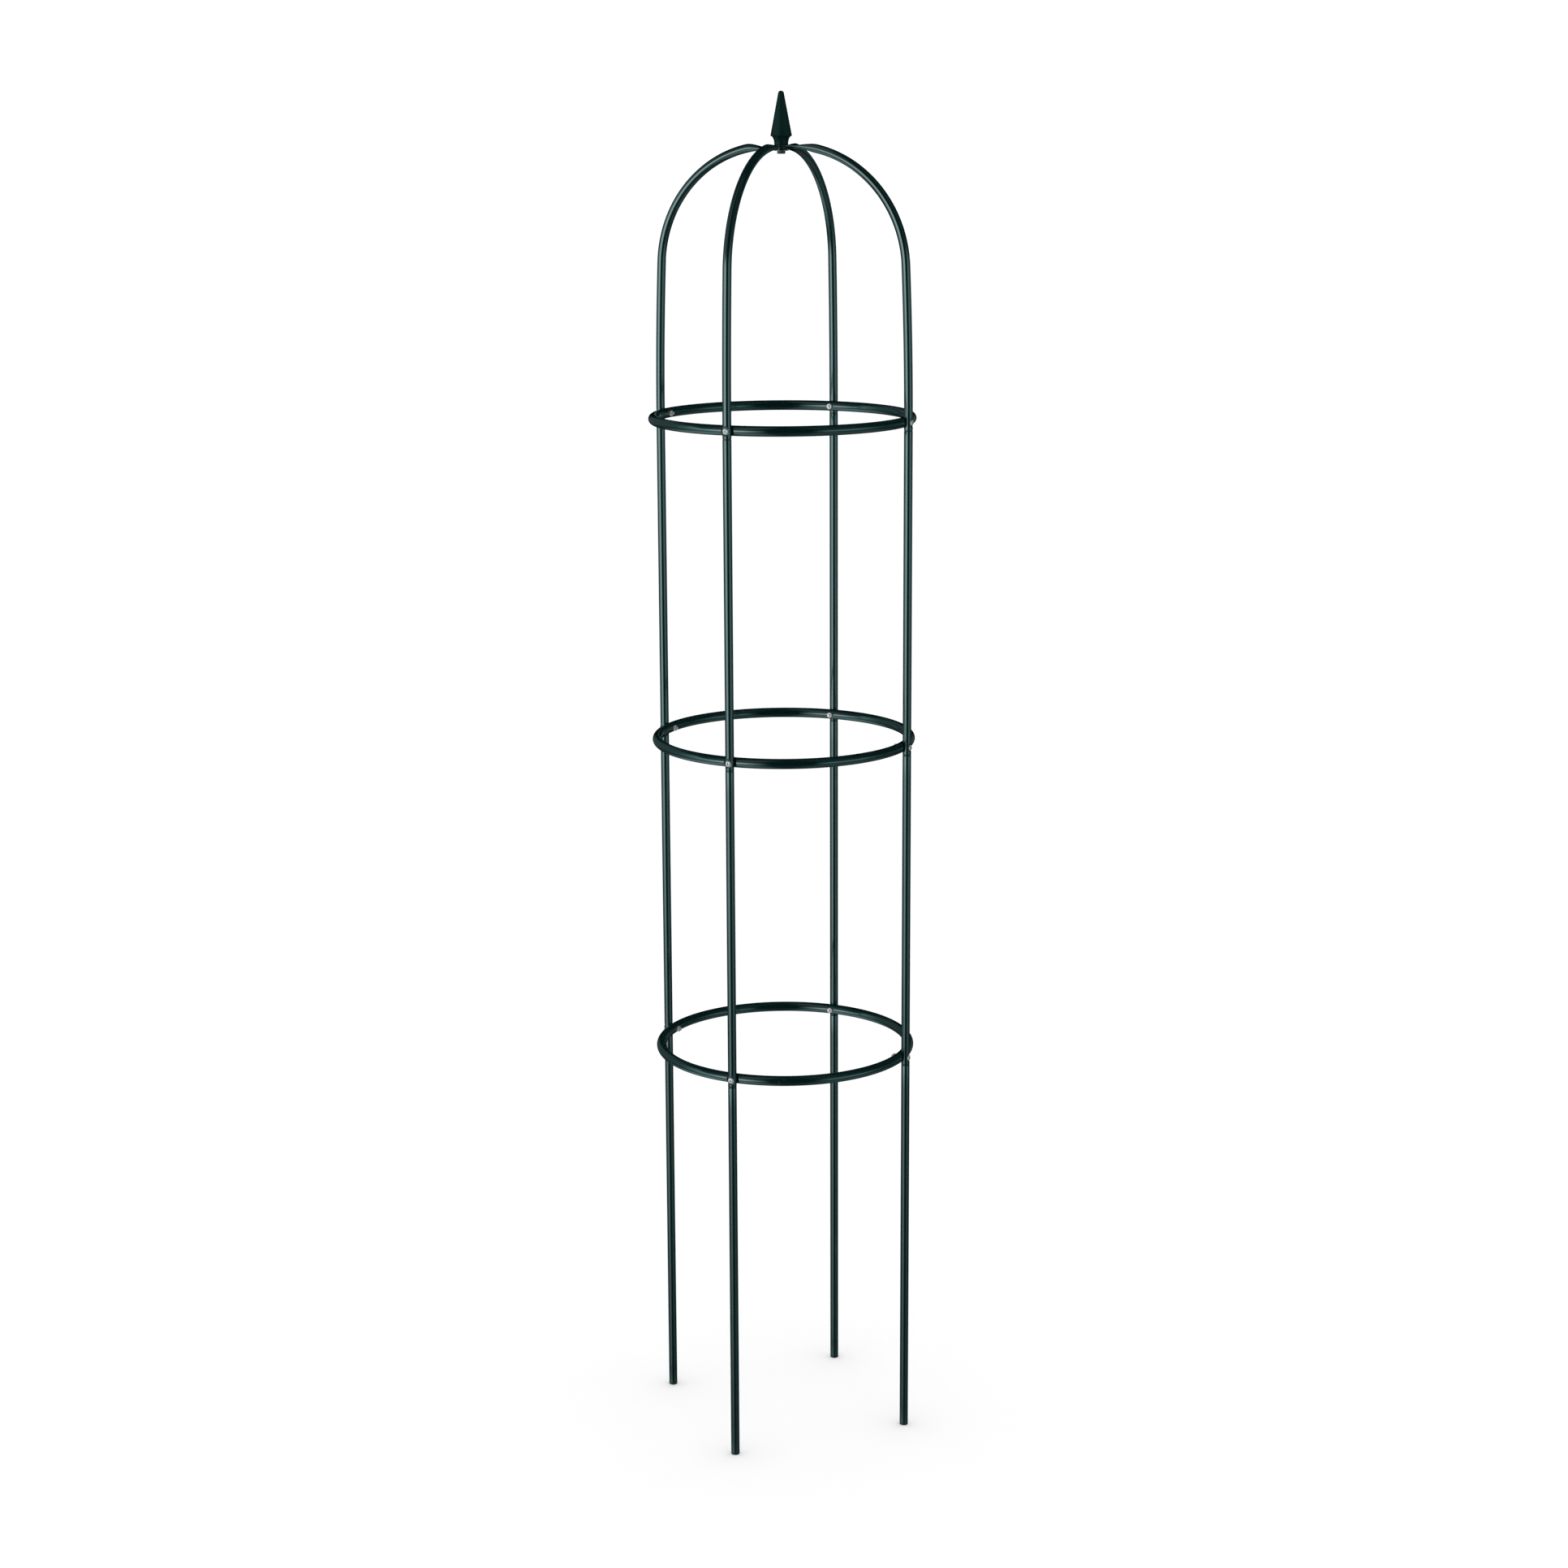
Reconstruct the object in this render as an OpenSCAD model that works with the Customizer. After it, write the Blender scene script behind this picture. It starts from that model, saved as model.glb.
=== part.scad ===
// Garden obelisk: a free-standing climbing-plant support of four round steel legs
// outside three tubular rings, bent over into a dome and tied together at the crown
// under a pointed finial. Every leg is four tubes plugged end to end, and a screw
// at each ring clamps the plugged joint to the ring.
//
// Millimetres, +Z up. The origin is on the ground, at the middle of the four legs.
// Legs stand on the axes: front is -Y, right is +X, back is +Y and left is -X.

/* [Overall] */
// Height from the ground to the tip of the finial
total_h = 1900; // [1870:5:1960]
// Diameter of the circle that runs through the centres of the legs
leg_circle_d = 372; // [340:2:420]

/* [Tubes] */
// Outside diameter of the leg and dome tubes
leg_tube_d = 12; // [11:0.5:14]
// Outside diameter of the ring tubes
ring_tube_d = 14; // [13:0.5:16]
// Wall thickness of every tube
tube_wall = 0.8; // [0.6:0.1:1]
// Length of the reduced tube end that plugs into the tube above
swage_len = 38; // [30:1:60]
// Radial play between a reduced end and the tube around it
swage_play = 0.1; // [0.05:0.05:0.2]
// Height of the shoulder where a tube steps down to its reduced end
shoulder_h = 3; // [2:0.5:5]
// Distance of each plugged joint below the middle of its ring
joint_drop = 11; // [10:0.5:14]

/* [Rings] */
// Height of the middle of the bottom ring above the ground
bottom_ring_z = 560; // [450:1:565]
// Height from the middle of one ring to the middle of the next
ring_pitch = 450; // [420:5:455]
// Depth that a leg is let into the pressed seat of a ring
seat_depth = 5; // [3:0.5:5.5]
// Radius of the press that forms the seats
seat_press_r = 10; // [8:0.5:12]

/* [Dome] */
// Height where the dome bend begins
dome_start_z = 1670; // [1660:1:1675]
// Distance that the dome tubes have leaned in where the dome bend begins
lean_in = 4.7; // [2:0.1:5]
// Height of the middle of the tube at the top of the dome bend
dome_top_z = 1827; // [1815:0.5:1830]
// Angle of the dome bend, above level, where the tube begins to be flattened
flatten_angle = 78; // [74:1:82]
// Width of the flattened, drilled tube end
tab_w = 17; // [15:0.5:18]

/* [Finial] */
// Height of the finial
finial_h = 72; // [65:1:85]
// Height of the sharp rim above the finial's foot
finial_rim_z = 12.2; // [10:0.1:18]
// Diameter of the sharp rim
finial_rim_d = 29.8; // [28:0.2:36]
// Diameter of the neck at the finial's foot
finial_neck_d = 19.2; // [16:0.2:22]
// Diameter of the rounded tip
finial_tip_d = 8.4; // [5:0.2:10]

/* [Fasteners] */
// Thread diameter of the screws that clamp legs to rings
screw_d = 4; // [3:0.5:4.5]
// Length of those screws under the head
screw_len = 25; // [24:0.5:28]
// Diameter of the screw heads
head_d = 8; // [7:0.2:8.4]
// Height of the screw heads
head_h = 2.4; // [2:0.1:3]
// Width of the ring nuts across their flats
nut_af = 7; // [6.5:0.5:8]
// Thickness of the ring nuts
nut_h = 3.2; // [2.5:0.1:4]
// Thread diameter of the crown bolt
bolt_d = 6; // [5:0.5:7]
// Width of the crown bolt's head across its flats
bolt_af = 10; // [9:0.5:12]
// Height of the crown bolt's head
bolt_head_h = 4; // [3:0.5:5]
// Length of thread inside the finial
bolt_grip = 18; // [12:1:30]
// Diameter of the crown washer
washer_d = 20; // [14:1:22]
// Thickness of the crown washer
washer_t = 1.2; // [1:0.1:2]

/* [Feet] */
// Height of the part of an end cap that shows below the tube
cap_rim_h = 2.5; // [2:0.5:5]
// Length of the plug of an end cap inside the tube
cap_plug_len = 14; // [10:1:20]

/* [Hidden] */
$fn = 64;
leg_r = leg_circle_d / 2;
tube_r = leg_tube_d / 2;
bore_r = tube_r - tube_wall;
swage_r = bore_r - swage_play;
end_gap = 0.3;
edge = 0.4;

ring_z = [bottom_ring_z, bottom_ring_z + ring_pitch, bottom_ring_z + 2 * ring_pitch];
joint_z = [for (z = ring_z) z - joint_drop];
BOTTOM = 0;
MIDDLE = 1;
TOP = 2;

FRONT = -90;
RIGHT = 0;
BACK = 90;
LEFT = 180;
SIDES = [FRONT, RIGHT, BACK, LEFT];

// A ring's outer wall is pressed in by seat_depth, and the leg just touches the seat.
seat_play = 0.05;
seat_face_r = leg_r - tube_r - seat_play;
ring_tube_r = ring_tube_d / 2;
ring_r = seat_face_r + seat_depth - ring_tube_r;
hole_d = screw_d + 0.4;

// Each screw head sinks into a round dimple that its tightening presses in the leg.
dimple_r = head_d / 2 + 0.7;
dimple_x = tube_r - 1.8;
inner_dimple_x = dimple_x - tube_wall - 0.05;
thread_play = 0.05;

// A dome tube is two arcs that meet smoothly: a slight lean, then the dome bend.
dome_low_z = joint_z[TOP] + end_gap;
lean_angle = 2 * atan(lean_in / (dome_start_z - dome_low_z));
lean_r = (dome_start_z - dome_low_z) / sin(lean_angle);
dome_r = (dome_top_z - dome_start_z) / (1 - sin(lean_angle));
dome_x = leg_r - lean_in - dome_r * cos(lean_angle);
dome_z = dome_top_z - dome_r;

// Four flattened ends, each two walls thick, lie on each other under the finial.
tab_t = 2 * tube_wall;
finial_z = total_h - finial_h;
crown_z = finial_z - 4 * tab_t;
tab_root_x = tab_w / 2 + 7;
LEFT_TAB = 0;
BACK_TAB = 1;
FRONT_TAB = 2;
RIGHT_TAB = 3;

STEEL_GREEN = "#17403e";
MOULDED_GREEN = "#123f3a";
ZINC = "#d5d8da";
BLACK = "#161819";

// ---- Placing and shared cutting shapes ----

// Puts a shape drawn beside the Z axis onto the leg of one side, its +X outwards
module on_leg(side) {
    rotate([0, 0, side])
        translate([leg_r, 0, 0])
            children();
}

// A round bar along +X that starts at x
module radial_bar(x, z, r, length) {
    translate([x, 0, z])
        rotate([0, 90, 0])
            cylinder(r = r, h = length);
}

// The clearance hole of a ring screw, right through a tube on the leg's line
module screw_hole(z) {
    radial_bar(-leg_tube_d - ring_tube_d, z, hole_d / 2, 2 * (leg_tube_d + ring_tube_d));
}

// ---- Leg tubes ----

// The outer face of a tube: a plain end at z_low, and above z_joint a shoulder and the
// reduced end
module tube_bar(z_low, z_joint) {
    z_top = z_joint + swage_len;
    rotate_extrude()
        polygon([[0, z_low], [tube_r - edge, z_low], [tube_r, z_low + edge],
                 [tube_r, z_joint - edge], [tube_r - edge, z_joint],
                 [swage_r, z_joint + shoulder_h], [swage_r, z_top], [0, z_top]]);
}

// The hollow of that tube, open at both ends
module tube_hollow(z_low, z_joint) {
    z_top = z_joint + swage_len + 1;
    r_top = swage_r - tube_wall;
    rotate_extrude()
        polygon([[0, z_low - 1], [bore_r, z_low - 1], [bore_r, z_joint - edge - tube_wall],
                 [r_top, z_joint + shoulder_h - tube_wall], [r_top, z_top], [0, z_top]]);
}

// One straight tube, drilled and dimpled by the ring screws: its lower end at z_under,
// which is undef where no ring is, and its reduced end at z_over
module leg_tube(z_low, z_joint, z_under, z_over) {
    difference() {
        tube_bar(z_low, z_joint);
        if (!is_undef(z_under))
            radial_bar(dimple_x, z_under, dimple_r, tube_r);
        radial_bar(inner_dimple_x, z_over, dimple_r + tube_wall, tube_r);
        difference() {
            tube_hollow(z_low, z_joint);
            if (!is_undef(z_under))
                radial_bar(dimple_x - tube_wall, z_under, dimple_r + tube_wall, tube_r);
            radial_bar(inner_dimple_x - tube_wall, z_over, dimple_r + 2 * tube_wall, tube_r);
        }
        if (!is_undef(z_under))
            screw_hole(z_under);
        screw_hole(z_over);
    }
}

module lower_leg(side) {
    color(STEEL_GREEN)
        on_leg(side)
            leg_tube(cap_rim_h, joint_z[BOTTOM], undef, ring_z[BOTTOM]);
}

module middle_leg(side) {
    color(STEEL_GREEN)
        on_leg(side)
            leg_tube(joint_z[BOTTOM] + end_gap, joint_z[MIDDLE], ring_z[BOTTOM], ring_z[MIDDLE]);
}

module upper_leg(side) {
    color(STEEL_GREEN)
        on_leg(side)
            leg_tube(joint_z[MIDDLE] + end_gap, joint_z[TOP], ring_z[MIDDLE], ring_z[TOP]);
}

// ---- Dome tubes ----

// A round bar that starts at the origin along +Z and bends towards -X
module bend(bend_r, angle, r) {
    translate([-bend_r, 0, 0])
        rotate([90, 0, 0])
            rotate_extrude(angle = angle, $fn = 360)
                translate([bend_r, 0])
                    circle(r = r);
}

// The two arcs of a dome tube, as a solid of radius r that runs past its lower end
module dome_run(r) {
    extra = 0.2;
    translate([leg_r - lean_in, 0, dome_start_z])
        rotate([0, -lean_angle, 0]) {
            bend(dome_r, flatten_angle - lean_angle, r);
            mirror([0, 0, 1])
                bend(lean_r, lean_angle + extra, r);
        }
}

// The fishtail where the round tube is pressed flat, and the drilled tab beyond it. The
// fishtail is let in a little way at both ends, and is a hair smaller than they are.
module flattened_end(tab) {
    z = crown_z + (tab + 0.5) * tab_t;
    let_in = 0.5;
    hair = 0.1;
    hull() {
        translate([dome_x, 0, dome_z])
            rotate([0, -flatten_angle, 0])
                translate([dome_r, 0, -let_in])
                    cylinder(r = tube_r - hair, h = let_in, $fn = 32);
        translate([tab_root_x - let_in, 0, z])
            cube([2 * let_in, tab_w - 2 * hair, tab_t - 2 * hair], center = true);
    }
    difference() {
        union() {
            translate([0, -tab_w / 2, z - tab_t / 2])
                cube([tab_root_x, tab_w, tab_t]);
            translate([0, 0, z - tab_t / 2])
                cylinder(d = tab_w, h = tab_t);
        }
        translate([0, 0, z - tab_t])
            cylinder(d = bolt_d + 0.6, h = 2 * tab_t);
    }
}

module dome_tube(side, tab) {
    z_hole = ring_z[TOP];
    block = 4 * leg_tube_d;
    color(STEEL_GREEN)
        rotate([0, 0, side])
            union() {
                difference() {
                    dome_run(tube_r);
                    translate([leg_r, 0, dome_low_z - block / 2])
                        cube(block, center = true);
                    translate([leg_r, 0, 0])
                        radial_bar(dimple_x, z_hole, dimple_r, tube_r);
                    difference() {
                        dome_run(bore_r);
                        translate([leg_r, 0, 0])
                            radial_bar(dimple_x - tube_wall, z_hole, dimple_r + tube_wall, tube_r);
                    }
                    translate([leg_r, 0, 0])
                        screw_hole(z_hole);
                }
                flattened_end(tab);
            }
}

// ---- Rings ----

// The pressed seats of a ring, as the shapes that the press leaves free
module seats(press_r) {
    for (side = SIDES)
        rotate([0, 0, side])
            translate([seat_face_r + seat_press_r, 0, -ring_tube_d])
                cylinder(r = press_r, h = 2 * ring_tube_d);
}

module ring(z) {
    color(STEEL_GREEN)
        translate([0, 0, z])
            difference() {
                rotate_extrude($fn = 180)
                    translate([ring_r, 0])
                        circle(r = ring_tube_r);
                seats(seat_press_r);
                difference() {
                    rotate_extrude($fn = 180)
                        translate([ring_r, 0])
                            circle(r = ring_tube_r - tube_wall);
                    seats(seat_press_r + tube_wall);
                }
                for (side = SIDES)
                    on_leg(side)
                        screw_hole(0);
            }
}

// ---- Fasteners ----

// A cross-recessed pan-head screw along -X, its head's seat at x = 0
module pan_screw() {
    recess_l = head_d * 0.52;
    recess_w = 0.9;
    recess_h = 1.4;
    tip = 0.6;
    shank_r = screw_d / 2 - thread_play;
    rotate([0, 90, 0])
        difference() {
            rotate_extrude()
                polygon([[0, -screw_len], [shank_r - tip, -screw_len],
                         [shank_r, -screw_len + tip], [shank_r, 0], [head_d / 2, 0],
                         [head_d / 2, head_h * 0.45], [head_d / 2 - 0.35, head_h * 0.72],
                         [head_d / 2 - 1.1, head_h * 0.92], [head_d / 2 - 2, head_h],
                         [0, head_h]]);
            for (turn = [0, 90])
                rotate([0, 0, turn])
                    translate([-recess_l / 2, -recess_w / 2, head_h - recess_h])
                        cube([recess_l, recess_w, recess_h + 1]);
        }
}

// A hexagon nut blank along +Z, both faces chamfered, with a round hole
module hexagon(af, h, hole_r) {
    corner_r = af / 2 / cos(30);
    bevel = corner_r - af / 2;
    difference() {
        intersection() {
            cylinder(r = corner_r, h = h, $fn = 6);
            rotate_extrude()
                polygon([[0, 0], [af / 2, 0], [corner_r, bevel * 0.6],
                         [corner_r, h - bevel * 0.6], [af / 2, h], [0, h]]);
        }
        if (hole_r > 0)
            translate([0, 0, -1])
                cylinder(r = hole_r, h = h + 2);
    }
}

module ring_screws(z) {
    color(ZINC)
        for (side = SIDES)
            on_leg(side)
                translate([dimple_x, 0, z])
                    pan_screw();
}

module ring_nuts(z) {
    color(ZINC)
        for (side = SIDES)
            rotate([0, 0, side])
                translate([ring_r - ring_tube_r, 0, z])
                    rotate([0, -90, 0])
                        hexagon(nut_af, nut_h, screw_d / 2);
}

module crown_washer() {
    color(ZINC)
        translate([0, 0, crown_z - washer_t])
            difference() {
                cylinder(d = washer_d, h = washer_t);
                translate([0, 0, -1])
                    cylinder(d = bolt_d + 0.4, h = washer_t + 2);
            }
}

module crown_bolt() {
    head_z = crown_z - washer_t - bolt_head_h;
    shank_top = finial_z + bolt_grip;
    tip = 0.8;
    shank_r = bolt_d / 2 - thread_play;
    color(ZINC) {
        translate([0, 0, head_z])
            hexagon(bolt_af, bolt_head_h, 0);
        translate([0, 0, head_z + bolt_head_h / 2])
            cylinder(r = shank_r, h = shank_top - tip - head_z - bolt_head_h / 2);
        translate([0, 0, shank_top - tip])
            cylinder(r1 = shank_r, r2 = shank_r - tip, h = tip);
    }
}

// ---- Finial and feet ----

// Half outline of the finial: hollow-sided neck, sharp rim, straight cone, round tip
module finial_outline() {
    neck_r = finial_neck_d / 2;
    rim_r = finial_rim_d / 2;
    tip_r = finial_tip_d / 2;
    foot_h = 2;
    flare_steps = 10;
    tip_steps = 8;
    tip_z = finial_h - tip_r;
    flare = [for (i = [0:flare_steps])
        let (t = 90 * i / flare_steps)
        [rim_r - (rim_r - neck_r) * sin(t),
         finial_rim_z - (finial_rim_z - foot_h) * (1 - cos(t))]];
    dome = [for (i = [0:tip_steps])
        let (t = 10 + 80 * i / tip_steps)
        [tip_r * cos(t), tip_z + tip_r * sin(t)]];
    polygon(concat([[0, 0], [neck_r, 0]], [for (i = [flare_steps:-1:0]) flare[i]], dome));
}

module finial() {
    color(MOULDED_GREEN)
        translate([0, 0, finial_z])
            difference() {
                rotate_extrude($fn = 96)
                    finial_outline();
                translate([0, 0, -1])
                    cylinder(r = bolt_d / 2, h = bolt_grip + 3);
            }
}

module end_cap(side) {
    plug_r = bore_r - 0.05;
    color(BLACK)
        on_leg(side)
            rotate_extrude()
                polygon([[0, 0], [tube_r - 0.8, 0], [tube_r - 0.2, 0.3], [tube_r, 0.9],
                         [tube_r, cap_rim_h - 0.1], [plug_r, cap_rim_h - 0.1],
                         [plug_r, cap_rim_h + cap_plug_len - 1],
                         [plug_r - 0.6, cap_rim_h + cap_plug_len],
                         [plug_r - 1.4, cap_rim_h + cap_plug_len],
                         [plug_r - 1.4, cap_rim_h], [0, cap_rim_h]]);
}

finial();
crown_bolt();
crown_washer();
dome_tube(FRONT, FRONT_TAB);  // dome_tube_front
dome_tube(RIGHT, RIGHT_TAB);  // dome_tube_right
dome_tube(BACK, BACK_TAB);  // dome_tube_back
dome_tube(LEFT, LEFT_TAB);  // dome_tube_left
upper_leg(FRONT);  // upper_leg_front
upper_leg(RIGHT);  // upper_leg_right
upper_leg(BACK);  // upper_leg_back
upper_leg(LEFT);  // upper_leg_left
middle_leg(FRONT);  // middle_leg_front
middle_leg(RIGHT);  // middle_leg_right
middle_leg(BACK);  // middle_leg_back
middle_leg(LEFT);  // middle_leg_left
lower_leg(FRONT);  // lower_leg_front
lower_leg(RIGHT);  // lower_leg_right
lower_leg(BACK);  // lower_leg_back
lower_leg(LEFT);  // lower_leg_left
end_cap(FRONT);  // end_cap_front
end_cap(RIGHT);  // end_cap_right
end_cap(BACK);  // end_cap_back
end_cap(LEFT);  // end_cap_left
ring(ring_z[TOP]);  // top_ring
ring(ring_z[MIDDLE]);  // middle_ring
ring(ring_z[BOTTOM]);  // bottom_ring
ring_screws(ring_z[TOP]);  // top_ring_screws
ring_screws(ring_z[MIDDLE]);  // middle_ring_screws
ring_screws(ring_z[BOTTOM]);  // bottom_ring_screws
ring_nuts(ring_z[TOP]);  // top_ring_nuts
ring_nuts(ring_z[MIDDLE]);  // middle_ring_nuts
ring_nuts(ring_z[BOTTOM]);  // bottom_ring_nuts
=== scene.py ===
"""Looks of the garden obelisk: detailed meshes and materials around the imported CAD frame.

Shapes are worked out in millimetres in the CAD frame and written to meshes in metres.
"""

import math

import bpy
import numpy as np
from mathutils import Matrix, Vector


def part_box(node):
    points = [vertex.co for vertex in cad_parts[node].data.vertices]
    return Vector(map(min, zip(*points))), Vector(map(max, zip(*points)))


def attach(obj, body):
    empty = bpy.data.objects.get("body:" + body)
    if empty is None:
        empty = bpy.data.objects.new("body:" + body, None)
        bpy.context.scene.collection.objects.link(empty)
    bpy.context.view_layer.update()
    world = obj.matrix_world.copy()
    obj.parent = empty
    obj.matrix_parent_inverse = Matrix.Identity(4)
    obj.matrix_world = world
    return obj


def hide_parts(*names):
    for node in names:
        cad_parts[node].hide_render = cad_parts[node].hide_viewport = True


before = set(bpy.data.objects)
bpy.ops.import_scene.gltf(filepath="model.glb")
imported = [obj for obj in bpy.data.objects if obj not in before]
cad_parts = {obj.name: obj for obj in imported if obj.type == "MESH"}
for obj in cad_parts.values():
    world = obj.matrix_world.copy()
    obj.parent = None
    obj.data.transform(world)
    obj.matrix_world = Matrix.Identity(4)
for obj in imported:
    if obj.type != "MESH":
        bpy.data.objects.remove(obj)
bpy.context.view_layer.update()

MM = 0.001
SIDES = {"front": -90, "right": 0, "back": 90, "left": 180}

# ---- Sizes that the CAD nodes give ----


def node_box(node):
    """Lowest and highest corner of a CAD node, in millimetres."""
    lo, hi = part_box(node)
    return np.array(lo) / MM, np.array(hi) / MM


leg_lo, leg_hi = node_box("lower_leg_right")
LEG_R = (leg_lo[0] + leg_hi[0]) / 2
TUBE_R = (leg_hi[0] - leg_lo[0]) / 2
RING_Z = {}
for level in ("bottom", "middle", "top"):
    ring_lo, ring_hi = node_box(f"{level}_ring")
    RING_Z[level] = (ring_lo[2] + ring_hi[2]) / 2
RING_TUBE_R = (ring_hi[2] - ring_lo[2]) / 2
finial_lo, finial_hi = node_box("finial")
FINIAL_Z = finial_lo[2]
FINIAL_H = finial_hi[2] - finial_lo[2]
CROWN_Z = node_box("crown_washer")[1][2]

# ---- Sizes repeated from the CAD source ----

# Tubes and the joints between them
WALL = 0.8
BORE_R = TUBE_R - WALL
SWAGE_R = BORE_R - 0.1
SWAGE_LEN = 38
SHOULDER_H = 3
JOINT_DROP = 11
END_GAP = 0.3

# The pressed seats of the rings, and the seat of a screw head in a leg
SEAT_FACE_R = LEG_R - TUBE_R - 0.05
SEAT_DEPTH = 5
SEAT_PRESS_R = 10
RING_R = SEAT_FACE_R + SEAT_DEPTH - RING_TUBE_R
DIMPLE_DEPTH = 1.8

# The dome tubes. TABS gives the place of each flattened end in the stack, counted from below
DOME_START_Z = 1670
DOME_TOP_Z = 1827
LEAN_IN = 4.7
FLATTEN_ANGLE = math.radians(78)
TAB_T = 2 * WALL
TAB_W = 17
TAB_ROOT_X = TAB_W / 2 + 7
TABS = {"left": 0, "back": 1, "front": 2, "right": 3}

# End caps
CAP_RIM_H = 2.5
CAP_PLUG_LEN = 14

# Finial
NECK_R = 9.6
RIM_R = 14.9
TIP_R = 4.2
RIM_Z = 12.2
FOOT_H = 2.0

# Screws, nuts, crown bolt and washer
SCREW_D = 4
SCREW_LEN = 25
HEAD_D = 8
HEAD_H = 2.4
THREAD_PITCH = 0.7
NUT_AF = 7
NUT_H = 3.2
BOLT_D = 6
BOLT_PITCH = 1.0
BOLT_AF = 10
BOLT_HEAD_H = 4
BOLT_GRIP = 18
WASHER_D = 20
WASHER_T = 1.2

# ---- Sizes of the detail that only the visual model has ----

TUBE_SEGMENTS = 64
ROUND_SEGMENTS = 96
HEX_SEGMENTS = 72
LIP = 0.75  # radius of a tube's rounded lip, and of its shoulder at a joint
SWAGE_EDGE = 0.2
BORE_NECK_DROP = 1.2  # how far below a joint the bore starts to narrow
DIMPLE_FLOOR_R = 4.5
DIMPLE_EDGE_R = 6.8
DIMPLE_REACH = 7  # height above and below a screw within which the wall is pressed
SEAT_SPAN = 4.8  # degrees on each side of a leg where a ring has close rows
SEAT_SOFTNESS = 1.2  # width of the soft edge round a pressed seat
SEAT_SPREAD = 0.03  # share by which a ring gets higher for each millimetre it is pressed in

# ---- Mesh helpers ----


def finish_piece(name, parts, material, node, sharp=40):
    """One object from closed shells, each (vertices in mm, faces), in place of a CAD node."""
    vertices = []
    faces = []
    for part_vertices, part_faces in parts:
        start = sum(len(v) for v in vertices)
        vertices.append(np.asarray(part_vertices, float) * MM)
        faces.extend([tuple(i + start for i in face) for face in part_faces])
    mesh = bpy.data.meshes.new(name)
    mesh.from_pydata(np.concatenate(vertices).tolist(), [], faces)
    mesh.polygons.foreach_set("use_smooth", [True] * len(mesh.polygons))
    mesh.set_sharp_from_angle(angle=math.radians(sharp))
    mesh.materials.append(material)
    mesh.update()
    piece = bpy.data.objects.new(name, mesh)
    bpy.context.scene.collection.objects.link(piece)
    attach(piece, "root")
    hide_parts(node)
    return piece


def skin(rows, wrap=False):
    """A closed shell over rows of points. Each row is a loop, or a single point at a pole."""
    starts = np.cumsum([0] + [len(row) for row in rows])
    faces = []
    pairs = [(i, i + 1) for i in range(len(rows) - 1)]
    if wrap:
        pairs.append((len(rows) - 1, 0))
    for low, high in pairs:
        a, b = starts[low], starts[high]
        n_low, n_high = len(rows[low]), len(rows[high])
        count = max(n_low, n_high)
        for j in range(count):
            k = (j + 1) % count
            if n_low == 1:
                faces.append((a, b + k, b + j))
            elif n_high == 1:
                faces.append((a + j, a + k, b))
            else:
                faces.append((a + j, a + k, b + k, b + j))
    return np.concatenate([np.atleast_2d(row) for row in rows]), faces


def level_row(radius, turn, z):
    """Points at one height, from a radius and a turn in radians for each."""
    return np.stack([radius * np.cos(turn), radius * np.sin(turn), np.full(len(turn), float(z))], 1)


def circle(radius, z, segments):
    """A level row of points round the Z axis, or one point where the radius is nothing."""
    if radius < 1e-6:
        return np.array([[0.0, 0.0, z]])
    turn = np.arange(segments) * 2 * math.pi / segments
    return level_row(radius, turn, z)


def lathe(profile, segments=64, wrap=False):
    """A shell turned from (radius, height) points."""
    return skin([circle(r, z, segments) for r, z in profile], wrap)


def rounded(points, radii, steps=4):
    """A polyline of (r, z) points with its corners turned into arcs of the given radii."""
    result = []
    for i, point in enumerate(points):
        p = np.array(point, float)
        if i == 0 or i == len(points) - 1 or radii[i] <= 0:
            result.append(tuple(p))
            continue
        before = np.array(points[i - 1], float) - p
        after = np.array(points[i + 1], float) - p
        reach_before, reach_after = np.linalg.norm(before), np.linalg.norm(after)
        before /= reach_before
        after /= reach_after
        half = math.acos(max(-1.0, min(1.0, float(before @ after)))) / 2
        cut = min(radii[i] / math.tan(half), 0.49 * reach_before, 0.49 * reach_after)
        for step in range(steps + 1):
            t = step / steps
            result.append(tuple(p + before * cut * (1 - t) ** 2 + after * cut * t**2))
    return result


def turned(shell, degrees):
    """A shell turned about the Z axis."""
    a = math.radians(degrees)
    vertices, faces = shell
    x, y, z = np.asarray(vertices).T
    new_x = x * math.cos(a) - y * math.sin(a)
    new_y = x * math.sin(a) + y * math.cos(a)
    return np.stack([new_x, new_y, z], 1), faces


def shifted(shell, x=0.0, z=0.0):
    """A shell moved along X and Z."""
    return np.asarray(shell[0]) + np.array([x, 0.0, z]), shell[1]


def along_x(shell):
    """A shell drawn along +Z laid along +X."""
    x, y, z = np.asarray(shell[0]).T
    return np.stack([z, y, -x], 1), shell[1]


def smooth_step(low, high, value):
    """0 up to low, 1 from high on, and a smooth climb between them."""
    t = np.clip((value - low) / (high - low), 0, 1)
    return t * t * (3 - 2 * t)


def sample_heights(z_low, z_high, dense_at, reach=7.5, fine=0.6, coarse=30):
    """Heights from z_low to z_high, close together around the heights in dense_at."""
    marks = {float(z_low), float(z_high)}
    edges = sorted([z_low, z_high] + [z for d in dense_at for z in (d - reach, d + reach)])
    edges = [z for z in edges if z_low <= z <= z_high]
    for a, b in zip(edges, edges[1:]):
        middle = (a + b) / 2
        step = fine if any(abs(middle - d) < reach for d in dense_at) else coarse
        count = max(1, round((b - a) / step))
        marks.update(float(a + (b - a) * i / count) for i in range(count + 1))
    return sorted(marks)


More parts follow.
